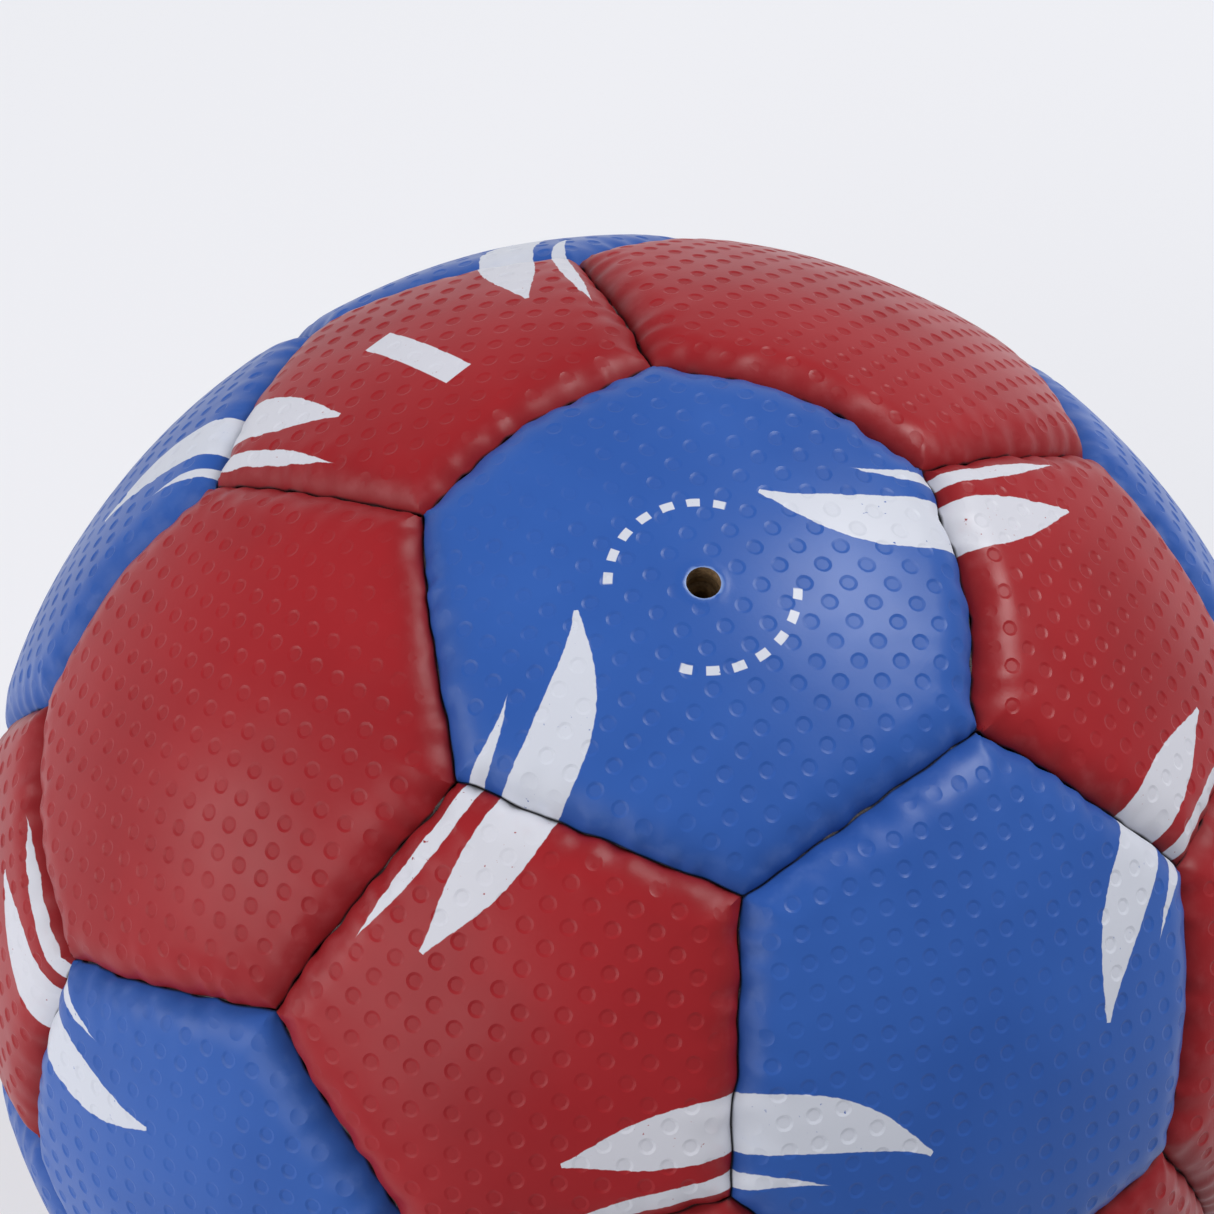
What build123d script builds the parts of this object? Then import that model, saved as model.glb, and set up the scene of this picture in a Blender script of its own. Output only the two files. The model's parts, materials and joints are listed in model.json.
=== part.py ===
"""A hand-sewn handball of 32 panels, built the way the real one is put together.

Frame: the origin is the middle of the ball, +Z runs out through the needle hole and +X points to the
middle of the pentagon that borders the valve panel on that side. All sizes are in millimetres.

Each panel is a cover tray (a skin with turned-in edges), a foam pad and a textile lining. The turned-in
edges of neighbouring trays stand back to back, and the sewing thread lies drawn tight in the groove
between their rolled edges. Inside lie the bladder, the valve body that is bonded into it, and the valve
core that takes the needle.
"""

import os
from itertools import combinations
from math import asin, atan, cos, degrees, pi, radians, sin, sqrt

from build123d import *

# The whole ball
ball_diameter = 162.34  # over the crowns of the panels, 510 mm round
panel_rise = 1.0  # how far the corners of a panel lie below the sphere of the crowns
seam_gap = 0.30  # between the turned-in edges of two panels
edge_roll = 4.0  # radius of the rolled edge of a panel

# Layers of a panel, from the outside in
skin_thickness = 1.3
foam_thickness = 3.2
lining_thickness = 1.3
layer_gap = 0.12  # glue line between two layers
edge_gap = 0.25  # round a foam pad and a lining, inside the turned-in edge

# Sewing
thread_radius = 0.25
thread_gap = 0.12  # between the thread and the rolled edges beside it
seam_end_margin = 2.0  # from a corner of the panel to the end of a seam's thread

# Bladder and valve
bladder_gap = 0.20
bladder_wall = 0.90
needle_hole_radius = 1.85  # in the skin of the valve panel
barrel_radius = 4.2
barrel_gap = 0.15  # round the barrel, in the foam, the lining and the bladder
barrel_clearance = 0.17  # from the underside of the skin to the top of the barrel
barrel_inside = 9.0  # how far the barrel reaches into the bladder
flange_radius = 14.0
flange_thickness = 1.0
core_radius = 1.72
core_fit = 0.04  # round the core in its barrel
core_depth = 1.6  # from the underside of the skin to the top of the core
core_length = 11.0
core_edge = 0.30  # bevel at the lower end of the core
needle_radius = 0.95
needle_depth = 7.5  # from the top of the core to the closed end of the needle way
mouth_radius = 1.30
mouth_depth = 0.60
slit_width = 0.20
slit_length = 2.2

# Cutters
cut_length = 40.0  # of a drill that goes right through a layer
cut_margin = 1.0  # how far a cutter reaches past what it cuts

# Radii that follow from the sizes above
crown_radius = ball_diameter / 2
seam_radius = crown_radius - panel_rise
foam_floor_radius = crown_radius - skin_thickness - layer_gap - foam_thickness
lining_top_radius = foam_floor_radius - layer_gap
lip_radius = lining_top_radius - lining_thickness
bladder_radius = lip_radius - bladder_gap
bladder_inside_radius = bladder_radius - bladder_wall
inner_roll = edge_roll - skin_thickness
skin_inset = seam_gap / 2 + skin_thickness
pad_inset = skin_inset + edge_gap

# Shape of the 32-panel net, on a sphere of radius one
golden_ratio = (1 + sqrt(5)) / 2
net_edge = 2 / sqrt(1 + 9 * golden_ratio**2)
pentagon_sides = 5
hexagon_sides = 6


def corner_reach(sides):
    """Distance of a panel's corner from the panel's own axis."""
    return net_edge / (2 * sin(pi / sides))


def side_tilt(sides):
    """Angle between the axis of a panel and the planes of its seams."""
    corner = corner_reach(sides)
    return atan(corner * cos(pi / sides) / sqrt(1 - corner**2))


def dome(sides):
    """Height of the centre and radius of the sphere that a panel's crown belongs to."""
    level = seam_radius * sqrt(1 - corner_reach(sides) ** 2)
    centre = (crown_radius**2 - seam_radius**2) / (2 * (crown_radius - level))
    return centre, crown_radius - centre


def seam_plane(sides, side, inset):
    """A seam plane of a panel, set in from the seam, facing into the panel."""
    tilt = side_tilt(sides)
    turn = (side + 0.5) * 2 * pi / sides
    out = Vector(cos(turn), sin(turn), 0)
    across = Vector(0, 0, 1) * sin(tilt) - out * cos(tilt)
    middle = Vector(0, 0, 1) * cos(tilt) + out * sin(tilt)
    return Plane(origin=across * inset, x_dir=middle, z_dir=across)


def panel_block(sides, inset, top_centre, top_radius, floor_radius, roll):
    """A block between the seam planes, with a ball-shaped top and floor and rolled upper edges."""
    with BuildPart() as block:
        with Locations((0, 0, top_centre)):
            Sphere(top_radius, rotation=(90, 0, 0))
        Sphere(floor_radius, rotation=(90, 0, 0), mode=Mode.SUBTRACT)
        for side in range(sides):
            split(bisect_by=seam_plane(sides, side, inset), keep=Keep.TOP)
        if roll > 0:
            fillet(block.faces().sort_by(Axis.Z)[-1].edges(), roll)
    return block.part


def roll_level(sides):
    """Distance from the ball's middle to where a rolled edge meets its seam, halfway along the seam."""
    centre, radius = dome(sides)
    tilt = side_tilt(sides)
    across = seam_gap / 2 + edge_roll - centre * sin(tilt)
    return centre * cos(tilt) + sqrt((radius - edge_roll) ** 2 - across**2)


def cover_tray(sides):
    """The skin of a panel with its turned-in edges."""
    centre, radius = dome(sides)
    outside = panel_block(sides, seam_gap / 2, centre, radius, lip_radius, edge_roll)
    inside_floor = lip_radius - cut_margin
    inside = panel_block(sides, skin_inset, centre, radius - skin_thickness, inside_floor, inner_roll)
    with BuildPart() as tray:
        add(outside)
        add(inside, mode=Mode.SUBTRACT)
    return tray.part


def foam_pad(sides):
    """The foam behind the skin of a panel, rolled like the inside of the skin."""
    centre, radius = dome(sides)
    top = radius - skin_thickness - layer_gap
    block = panel_block(sides, pad_inset, centre, top, lip_radius, inner_roll)
    with BuildPart() as pad:
        add(block)
        Sphere(foam_floor_radius, rotation=(90, 0, 0), mode=Mode.SUBTRACT)
    return pad.part


def lining_sheet(sides):
    """The textile lining behind the foam of a panel."""
    return panel_block(sides, pad_inset, 0, lining_top_radius, lip_radius, 0)


def drilled(block, radius):
    """A layer of the valve panel, with a round hole along the panel's axis."""
    with BuildPart() as layer:
        add(block)
        with Locations((0, 0, crown_radius)):
            Cylinder(radius, cut_length, mode=Mode.SUBTRACT)
    return layer.part


def seam_run():
    """The thread of one seam, an arc in the groove between two rolled edges."""
    spread = thread_radius + thread_gap - seam_gap / 2
    lift = sqrt(edge_roll**2 - (edge_roll - spread) ** 2)
    inner = max(roll_level(pentagon_sides), roll_level(hexagon_sides)) + lift
    outer = inner + 2 * thread_radius
    half = degrees(asin(net_edge / 2) - seam_end_margin / inner)
    with BuildPart() as run:
        with BuildSketch(Plane.XY.offset(-thread_radius)):
            with BuildLine():
                low = CenterArc((0, 0), inner, -half, 2 * half)
                high = CenterArc((0, 0), outer, -half, 2 * half)
                Line(low @ 0, high @ 0)
                Line(low @ 1, high @ 1)
            make_face()
        extrude(amount=2 * thread_radius)
    return run.part


# Directions of the panels: the pentagons stand in four rings of three, the hexagons between them
pentagon_reach = sqrt(3 * (golden_ratio + 2))
upper_cos = (golden_ratio + 1) / pentagon_reach
lower_cos = (golden_ratio - 1) / pentagon_reach
ring_levels = [(upper_cos, 0), (lower_cos, 60), (-lower_cos, 0), (-upper_cos, 60)]
near_cos = 1 / sqrt(5)
twin_level = sqrt(5) / 3
twin_turn = 300


def ring_direction(level, turn):
    """A direction by its height on the unit sphere and its turn round +Z in degrees."""
    flat = sqrt(1 - level**2)
    return Vector(flat * cos(radians(turn)), flat * sin(radians(turn)), level)


def touching(one, other):
    """Whether two pentagon directions are next to each other."""
    return abs(one.dot(other) - near_cos) < 0.01


pentagon_axes = [
    ring_direction(level, first_turn + step) for level, first_turn in ring_levels for step in (0, 120, 240)
]
neighbours = [pair for pair in combinations(pentagon_axes, 2) if touching(*pair)]
hexagon_axes = [
    (a + b + c).normalized()
    for a, b, c in combinations(pentagon_axes, 3)
    if touching(a, b) and touching(b, c) and touching(a, c)
]
hexagon_axes.sort(key=lambda axis: (-round(axis.Z, 3), round(-axis.X, 3), axis.Y))
valve_axis = hexagon_axes[0]
twin_axis = ring_direction(twin_level, twin_turn)  # the blue hexagon that borders the valve panel
pair_axis = (valve_axis + twin_axis).normalized()


def is_red(axis):
    """Red hexagons are those at the corners of a cube that stands square to the blue pair."""
    return abs(abs(axis.dot(pair_axis)) - 1 / sqrt(3)) < 0.05


def panel_plane(axis, sides):
    """The plane that sets a panel on the ball, with its x axis towards a corner of the panel."""
    around = pentagon_axes if sides == hexagon_sides else hexagon_axes
    nearest = max((other for other in around if other.dot(axis) < 0.99), key=lambda other: other.dot(axis))
    edge = (nearest - axis * nearest.dot(axis)).normalized()
    corner = edge.rotate(Axis((0, 0, 0), axis), 180 / sides)
    return Plane(origin=(0, 0, 0), x_dir=corner, z_dir=axis)


pentagon_planes = [panel_plane(axis, pentagon_sides) for axis in pentagon_axes]
valve_plane = panel_plane(valve_axis, hexagon_sides)
red_hexagon_planes = [panel_plane(axis, hexagon_sides) for axis in hexagon_axes if is_red(axis)]
blue_hexagon_planes = [panel_plane(axis, hexagon_sides) for axis in hexagon_axes[1:] if not is_red(axis)]
hexagon_planes = red_hexagon_planes + blue_hexagon_planes

# Seams: thirty between hexagons, sixty round the pentagons
seam_planes = []
for one, other in neighbours:
    middle = (one + other).normalized()
    along = (one - other).normalized()
    seam_planes.append(Plane(origin=(0, 0, 0), x_dir=middle, z_dir=middle.cross(along)))
tilt_of_pentagon = side_tilt(pentagon_sides)
for plane in pentagon_planes:
    for side in range(pentagon_sides):
        turn = (side + 0.5) * 2 * pi / pentagon_sides
        out = plane.x_dir * cos(turn) + plane.y_dir * sin(turn)
        middle = plane.z_dir * cos(tilt_of_pentagon) + out * sin(tilt_of_pentagon)
        across = plane.z_dir * sin(tilt_of_pentagon) - out * cos(tilt_of_pentagon)
        seam_planes.append(Plane(origin=(0, 0, 0), x_dir=middle, z_dir=across))

os.makedirs("parts", exist_ok=True)

# Cover trays
pentagon_tray = cover_tray(pentagon_sides)
hexagon_tray = cover_tray(hexagon_sides)

with BuildPart(valve_plane) as valve_panel:
    add(drilled(hexagon_tray, needle_hole_radius))
valve_panel.part.label = "valve_panel"
export_step(valve_panel.part, "parts/valve_panel.step")

for number, plane in enumerate(pentagon_planes, 1):
    with BuildPart(plane) as red_pentagon:
        add(pentagon_tray)
    red_pentagon.part.label = f"red_pentagon_{number:02d}"
    export_step(red_pentagon.part, f"parts/red_pentagon_{number:02d}.step")

for number, plane in enumerate(red_hexagon_planes, 1):
    with BuildPart(plane) as red_hexagon:
        add(hexagon_tray)
    red_hexagon.part.label = f"red_hexagon_{number:02d}"
    export_step(red_hexagon.part, f"parts/red_hexagon_{number:02d}.step")

for number, plane in enumerate(blue_hexagon_planes, 1):
    with BuildPart(plane) as blue_hexagon:
        add(hexagon_tray)
    blue_hexagon.part.label = f"blue_hexagon_{number:02d}"
    export_step(blue_hexagon.part, f"parts/blue_hexagon_{number:02d}.step")

# Foam pads and linings
pentagon_pad = foam_pad(pentagon_sides)
hexagon_pad = foam_pad(hexagon_sides)
pentagon_sheet = lining_sheet(pentagon_sides)
hexagon_sheet = lining_sheet(hexagon_sides)
barrel_hole = barrel_radius + barrel_gap

with BuildPart(*pentagon_planes) as pentagon_foam:
    add(pentagon_pad)
pentagon_foam.part.label = "pentagon_foam"
export_step(pentagon_foam.part, "parts/pentagon_foam.step")

with BuildPart(*hexagon_planes) as hexagon_foam:
    add(hexagon_pad)
hexagon_foam.part.label = "hexagon_foam"
export_step(hexagon_foam.part, "parts/hexagon_foam.step")

with BuildPart(valve_plane) as valve_foam:
    add(drilled(hexagon_pad, barrel_hole))
valve_foam.part.label = "valve_foam"
export_step(valve_foam.part, "parts/valve_foam.step")

with BuildPart(*pentagon_planes) as pentagon_lining:
    add(pentagon_sheet)
pentagon_lining.part.label = "pentagon_lining"
export_step(pentagon_lining.part, "parts/pentagon_lining.step")

with BuildPart(*hexagon_planes) as hexagon_lining:
    add(hexagon_sheet)
hexagon_lining.part.label = "hexagon_lining"
export_step(hexagon_lining.part, "parts/hexagon_lining.step")

with BuildPart(valve_plane) as valve_lining:
    add(drilled(hexagon_sheet, barrel_hole))
valve_lining.part.label = "valve_lining"
export_step(valve_lining.part, "parts/valve_lining.step")

# Sewing
thread_run = seam_run()
with BuildPart(*seam_planes) as seam_thread:
    add(thread_run)
seam_thread.part.label = "seam_thread"
export_step(seam_thread.part, "parts/seam_thread.step")

# Bladder, open round the barrel of the valve
with BuildPart() as bladder:
    Sphere(bladder_radius)
    Sphere(bladder_inside_radius, mode=Mode.SUBTRACT)
    with Locations((0, 0, crown_radius)):
        Cylinder(barrel_hole, cut_length, mode=Mode.SUBTRACT)
bladder.part.label = "bladder"
export_step(bladder.part, "parts/bladder.step")

# Valve body: a barrel up to the skin and a flange bonded under the wall of the bladder
barrel_top = crown_radius - skin_thickness - barrel_clearance
barrel_bottom = bladder_inside_radius - barrel_inside
core_top = crown_radius - skin_thickness - core_depth
core_bottom = core_top - core_length
flange_top_radius = bladder_inside_radius - layer_gap
with BuildPart() as flange:
    Sphere(flange_top_radius)
    Sphere(flange_top_radius - flange_thickness, mode=Mode.SUBTRACT)
    with Locations((0, 0, flange_top_radius)):
        Cylinder(flange_radius, cut_length, mode=Mode.INTERSECT)
with BuildPart() as valve_body:
    with Locations((0, 0, (barrel_top + barrel_bottom) / 2)):
        Cylinder(barrel_radius, barrel_top - barrel_bottom)
    add(flange.part)
    with Locations((0, 0, core_bottom + cut_length / 2)):
        Cylinder(core_radius + core_fit, cut_length, mode=Mode.SUBTRACT)
valve_body.part.label = "valve_body"
export_step(valve_body.part, "parts/valve_body.step")

# Valve core: a rubber plug with a funnel mouth, the needle way and a self-closing slit below it
with BuildPart() as valve_core:
    with BuildSketch(Plane.XZ):
        with BuildLine():
            Polyline(
                (0, core_bottom),
                (core_radius - core_edge, core_bottom),
                (core_radius, core_bottom + core_edge),
                (core_radius, core_top),
                (mouth_radius, core_top),
                (needle_radius, core_top - mouth_depth),
                (needle_radius, core_top - needle_depth),
                (0, core_top - needle_depth),
                close=True,
            )
        make_face()
    revolve(axis=Axis.Z)
    with Locations((0, 0, core_bottom + (core_length - needle_depth) / 2)):
        Box(slit_length, slit_width, core_length - needle_depth + cut_margin, mode=Mode.SUBTRACT)
valve_core.part.label = "valve_core"
export_step(valve_core.part, "parts/valve_core.step")
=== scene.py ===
"""Looks of the hand-sewn handball: puffed, dimpled cover panels, drawn seams and the valve in its hole.

The frame is that of the CAD model: the origin is the middle of the ball, +Z runs out through the needle hole
and +X points to the middle of the red pentagon on that side. Lengths are in metres, given in millimetres.
"""

import json
import math
from itertools import combinations

import bmesh
import bpy
import numpy as np
from mathutils import Matrix, Vector


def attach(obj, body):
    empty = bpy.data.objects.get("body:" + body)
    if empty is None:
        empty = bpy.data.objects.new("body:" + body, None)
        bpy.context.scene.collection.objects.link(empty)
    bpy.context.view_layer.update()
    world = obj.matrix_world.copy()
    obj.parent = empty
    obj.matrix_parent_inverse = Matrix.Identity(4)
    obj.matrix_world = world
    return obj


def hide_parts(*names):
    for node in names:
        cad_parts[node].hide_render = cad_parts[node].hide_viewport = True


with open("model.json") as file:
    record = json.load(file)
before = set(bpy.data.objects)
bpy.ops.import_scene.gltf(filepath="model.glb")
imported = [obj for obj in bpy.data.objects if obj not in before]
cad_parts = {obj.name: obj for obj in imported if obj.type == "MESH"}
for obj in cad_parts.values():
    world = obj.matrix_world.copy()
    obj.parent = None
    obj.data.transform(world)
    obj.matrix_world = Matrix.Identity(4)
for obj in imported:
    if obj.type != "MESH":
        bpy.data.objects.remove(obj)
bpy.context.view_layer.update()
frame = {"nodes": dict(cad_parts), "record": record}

MM = 0.001

# The ball, as in the CAD model
PENTAGON_SIDES = 5
HEXAGON_SIDES = 6
CROWN_RADIUS = 162.34 / 2 * MM
SKIN_THICKNESS = 1.3 * MM
FOAM_THICKNESS = 3.2 * MM
LINING_THICKNESS = 1.3 * MM
LAYER_GAP = 0.12 * MM
PAD_INSET = 1.7 * MM
NEEDLE_HOLE_RADIUS = 1.85 * MM
BARREL_HOLE_RADIUS = 4.35 * MM
THREAD_LEVEL = 78.16 * MM
THREAD_RADIUS = 0.25 * MM
SEAM_END_MARGIN = 2.0 * MM

# Levels of the layers, from the middle of the ball
FOAM_TOP = CROWN_RADIUS - SKIN_THICKNESS - LAYER_GAP
FOAM_FLOOR = FOAM_TOP - FOAM_THICKNESS
LINING_TOP = FOAM_FLOOR - LAYER_GAP
LIP_LEVEL = LINING_TOP - LINING_THICKNESS

# Puffed cover
PANEL_RISE = 0.3 * MM
HALF_GAP = 0.04 * MM
EDGE_ROLL = 5.6 * MM
EDGE_DEPTH = 2.4 * MM
CREASE_SHARE = 0.97
PUCKER_DEPTH = 0.2 * MM
PUCKER_REACH = 2.4 * MM
PUCKER_BAND = (0.25, 0.75)
PUCKER_RANGE = (0.2, 1.7)
PUCKER_DRIFT = 2.0
RIPPLE = 1.5 * MM
UNEVENNESS = 0.7 * MM
SWELL_FADE = (0.5 * MM, 7 * MM)
HOLE_LIP_RISE = 0.13 * MM
HOLE_LIP_PLACE = 0.4 * MM
HOLE_LIP_WIDTH = 0.3 * MM
THREAD_ROOM = 0.4 * MM
LIP_HEIGHT = 2.2 * MM
BOW_REACH = 11.0 * MM
MERGE_DISTANCE = 0.005 * MM
SHARP_ANGLE = math.radians(30)

# Rings of points that close a panel behind, by their share of the way from its axis to its edge
COVER_RINGS = (0.93, 0.6, 0.0)
PADDING_RINGS = (1.0, 0.6, 0.0)

# Padding, and the drill for the holes of the valve panel
FOAM_ROLL = 5.0 * MM
LINING_ROLL = 2.4 * MM
DRILL_LENGTH = 30 * MM
DRILL_SIDES = 48

# Dimples
DIMPLE_PITCH = 3.2 * MM
DIMPLE_RADIUS = 0.96 * MM
DIMPLE_DEPTH = 0.12 * MM
DIMPLE_FADE = (1.5 * MM, 3.4 * MM)
DIMPLE_BAND = (0.3, 0.65)
DIMPLE_RANGE = (0.6, 1.1)
HOLE_LAND = (0.7 * MM, 1.5 * MM)
WALL_RISE = 0.25
GRAIN_TURN = math.radians(45)
GRAIN_SEED = 364
SEED_STEP = 100

# Lattice of a panel's points: each cell holds one dimple, as rings of points round the cell's middle
LATTICE_CELLS = {PENTAGON_SIDES: 19, HEXAGON_SIDES: 23}
CELL_DIVISIONS = 8
FLOOR_RING = 1 / CELL_DIVISIONS
RIM_RING = 2 / CELL_DIVISIONS
LAND_RING = 3 / CELL_DIVISIONS
RING_MARGIN = 0.01
FLOOR_SHARE = 0.68
EDGE_PULLS = 3
NEAR_MIDDLE = 1e-5
NEAR_AXIS = 1e-7
WHOLLY_OUTSIDE = 0.99

# Fineness of the noise that bends the cover, per metre
SWELL_SCALE = 40.0
DRIFT_SCALE = 60.0
DIMPLE_SCALE = 90.0
RIPPLE_SCALE = 150.0
PUCKER_SCALE = 170.0

# Stitches
STITCH_PITCH = 4.3 * MM
STITCH_COUNT = 7
STITCH_HALF_WIDTH = 0.26 * MM
STITCH_RISE = 0.2 * MM
STITCH_RADIUS = 0.12 * MM
STITCH_SLANT = 0.5
STITCH_SEED = 5
STITCH_SIDES = 6
STITCH_STEPS = 6
THREAD_SIDES = 8
THREAD_POINTS = 13

# Finish of the cover: distances are from the seam, scales are per metre
COVER_SHINE = 0.23
COVER_ROUGHNESS = (0.30, 0.37)
POLISH_SCALE = 120.0
DIMPLE_DULLNESS = 0.14
CREASE_DULLNESS = 0.14
CREASE_DULL_FADE = (0.3 * MM, 3.0 * MM)
TONE_SCALE = 45.0
TONE_SHARE = 0.5
# Painted shade that darkens the floors of the dimples
DIMPLE_PAINTED_SHADE = 0.1
# Painted shade on the rolled edges, deepest at the seam and gone 4.5 mm from it
SEAM_PAINTED_SHADE = 0.8
SEAM_PAINTED_SHADE_REACH = (0.2 * MM, 4.5 * MM)
RUBBED_SHARE = 0.08
RUBBED_SCALE = 420.0
RUBBED_BAND = (0.45, 0.75)
RUBBED_START = (0.3 * MM, 1.2 * MM)
RUBBED_END = (1.6 * MM, 3.4 * MM)
# Painted shade: a near-black line along the bottom of each seam crease
CREASE_PAINTED_SHADE_COLOUR = (0.012, 0.011, 0.013, 1)
CREASE_PAINTED_SHADE_SHARE = 0.85
CREASE_PAINTED_SHADE_FADE = (0.04 * MM, 0.24 * MM)
SKIN_SCALE = 2600.0
SKIN_BUMP = 0.18
SKIN_BUMP_DEPTH = 0.05 * MM
INNER_BUMP = 0.5
# Painted highlight: a pale ring round the needle hole, uneven in width
RIM_WIDTH = 0.5 * MM
RIM_RANGE = (0.3, 1.0)
RIM_SCALE = 700.0
RIM_PALENESS = 0.75
NOISE_MIDDLE = (0.3, 0.7)

# White print
PRINT_COLOUR = (0.68, 0.70, 0.77, 1)
PRINT_SHARE = 0.95
PRINT_EDGE = 0.06 * MM
PRINT_WANDER = 0.35 * MM
PRINT_WANDER_SCALE = 900.0
FLAKE_SCALE = 1500.0
FLAKE_BAND = (0.22, 0.3)
STROKES_ROUND = 3
STROKE_REACH = math.radians(30.0)
STROKE_SWEEP = math.radians(2.2)
STROKE_PHASE = math.radians(-7.8)
STROKE_TIP = -0.1
STROKE_HALF_WIDTH = 3.4 * MM
STROKE_LEAST_HALF_WIDTH = 0.25 * MM
FINE_STROKE_LEAD = 0.5
FINE_STROKE_TIP = 0.1
FINE_STROKE_OFFSET = 6.6 * MM
FINE_STROKE_HALF_WIDTH = 1.0 * MM
BAR_LENGTH = 16.0 * MM
BAR_WIDTH = 3.8 * MM
BAR_PLACE = (2.75 * MM, -1.74 * MM)
BAR_SLANT = 0.12
BAR_TILT = 0.08
BAR_LEAST_HEIGHT = 0.9 * CROWN_RADIUS
DASH_RING_RADIUS = 10.0 * MM
DASH_HALF_WIDTH = 0.5 * MM
DASH_EDGE = 0.05 * MM
DASH_COUNT = 22
DASH_TURN = math.radians(120)
DASH_END = 0.1
DASH_ARCS = (0.60, 0.62)

# Floor, sky and lamps
FLOOR_SIZE = 12.0
FLOOR_COLOUR = (0.86, 0.865, 0.89, 1)
FLOOR_ROUGHNESS = 0.9
FLOOR_SEEN_COLOUR = (0.89, 0.90, 0.945, 1)
FLOOR_GLOW = 0.6
SKY_COLOUR = (0.95, 0.96, 1.0, 1)
SKY_STRENGTH = 0.25
HORIZON_STRENGTH = 0.67
HORIZON_BAND = (0.03, 0.2)
LAMP_DISTANCE = 700 * MM

# Camera of the photograph, solved from the corners of the panels
CAMERA_PLACE = (-0.062484, -0.182379, 0.430668)
CAMERA_RIGHT = Vector((0.9873, -0.1400, 0.0746))
CAMERA_UP = Vector((0.0893, 0.8794, 0.4677))
CAMERA_LENS = 113.2
CAMERA_SENSOR = 36.0
CAMERA_CLIP_START = 0.01

# Truncated icosahedron: the length of its edges on a ball of radius one
GOLDEN_RATIO = (1 + math.sqrt(5)) / 2
NET_EDGE = 2 / math.sqrt(1 + 9 * GOLDEN_RATIO**2)
NET_TOLERANCE = 0.01


# Net of the panels


def ring_direction(level, turn):
    """A direction by its height on the unit sphere and its turn round +Z in degrees."""
    flat = math.sqrt(1 - level**2)
    angle = math.radians(turn)
    return np.array((flat * math.cos(angle), flat * math.sin(angle), level))


def unit(vector):
    return vector / np.linalg.norm(vector)


def touching(one, other):
    """Whether two pentagon directions are next to each other."""
    return abs(one @ other - 1 / math.sqrt(5)) < NET_TOLERANCE


pentagon_reach = math.sqrt(3 * (GOLDEN_RATIO + 2))
upper_cos = (GOLDEN_RATIO + 1) / pentagon_reach
lower_cos = (GOLDEN_RATIO - 1) / pentagon_reach
ring_levels = ((upper_cos, 0), (lower_cos, 60), (-lower_cos, 0), (-upper_cos, 60))
pentagon_axes = [
    ring_direction(level, first_turn + step) for level, first_turn in ring_levels for step in (0, 120, 240)
]
hexagon_axes = [
    unit(a + b + c)
    for a, b, c in combinations(pentagon_axes, 3)
    if touching(a, b) and touching(b, c) and touching(a, c)
]
hexagon_axes.sort(key=lambda axis: (-round(axis[2], 3), round(-axis[0], 3), axis[1]))
valve_axis = hexagon_axes[0]
twin_axis = ring_direction(math.sqrt(5) / 3, 300)

# The red hexagons stand at the corners of a cube that is square to the blue pair at the valve
cube_axes = [unit(twin_axis - valve_axis), None, unit(valve_axis + twin_axis)]
cube_axes[1] = np.cross(cube_axes[2], cube_axes[0])


def is_red(axis):
    return abs(abs(axis @ cube_axes[2]) - 1 / math.sqrt(3)) < NET_TOLERANCE


red_hexagon_axes = [axis for axis in hexagon_axes if is_red(axis)]
blue_hexagon_axes = [axis for axis in hexagon_axes[1:] if not is_red(axis)]

# Seams that the fuller of two panels pushes sideways: that panel, the other one, and how far
SEAM_BOWS = (
    (valve_axis, red_hexagon_axes[0], 2.6 * MM),
    (valve_axis, pentagon_axes[0], 1.7 * MM),
    (valve_axis, pentagon_axes[1], 1.4 * MM),
    (red_hexagon_axes[1], blue_hexagon_axes[4], 1.9 * MM),
    (red_hexagon_axes[1], pentagon_axes[4], 1.4 * MM),
)


def panel_frame(axis, sides):
    """The way to a corner of a panel, the way square to it, and the panel's axis."""
    around = pentagon_axes if sides == HEXAGON_SIDES else hexagon_axes
    others = [other for other in around if other @ axis < 1 - NET_TOLERANCE]
    nearest = max(others, key=lambda other: other @ axis)
    edge = unit(nearest - axis * (nearest @ axis))
    half_side = math.pi / sides
    corner = edge * math.cos(half_side) + np.cross(axis, edge) * math.sin(half_side)
    return corner, np.cross(axis, corner), axis


def corner_reach(sides):
    """Distance of a panel's corner from the panel's axis, on a ball of radius one."""
    return NET_EDGE / (2 * math.sin(math.pi / sides))


def side_tilt(sides):
    """Angle between the axis of a panel and the planes of its seams."""
    corner = corner_reach(sides)
    return math.atan(corner * math.cos(math.pi / sides) / math.sqrt(1 - corner**2))


def dome(sides, top):
    """Height of the centre and radius of a sphere that crowns a panel, lower by the rise at its corners."""
    low = top - PANEL_RISE
    level = low * math.sqrt(1 - corner_reach(sides) ** 2)
    centre = (top**2 - low**2) / (2 * (top - level))
    return centre, top - centre


def seam_arcs():
    """The middle and the way along each seam: thirty between hexagons, sixty round the pentagons."""
    arcs = []
    for one, other in combinations(pentagon_axes, 2):
        if touching(one, other):
            arcs.append((unit(one + other), unit(one - other)))
    tilt = side_tilt(PENTAGON_SIDES)
    for axis in pentagon_axes:
        corner, side, _ = panel_frame(axis, PENTAGON_SIDES)
        for number in range(PENTAGON_SIDES):
            turn = (number + 0.5) * 2 * math.pi / PENTAGON_SIDES
            out = corner * math.cos(turn) + side * math.sin(turn)
            along = side * math.cos(turn) - corner * math.sin(turn)
            arcs.append((axis * math.cos(tilt) + out * math.sin(tilt), along))
    return arcs


# Node helpers


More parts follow.
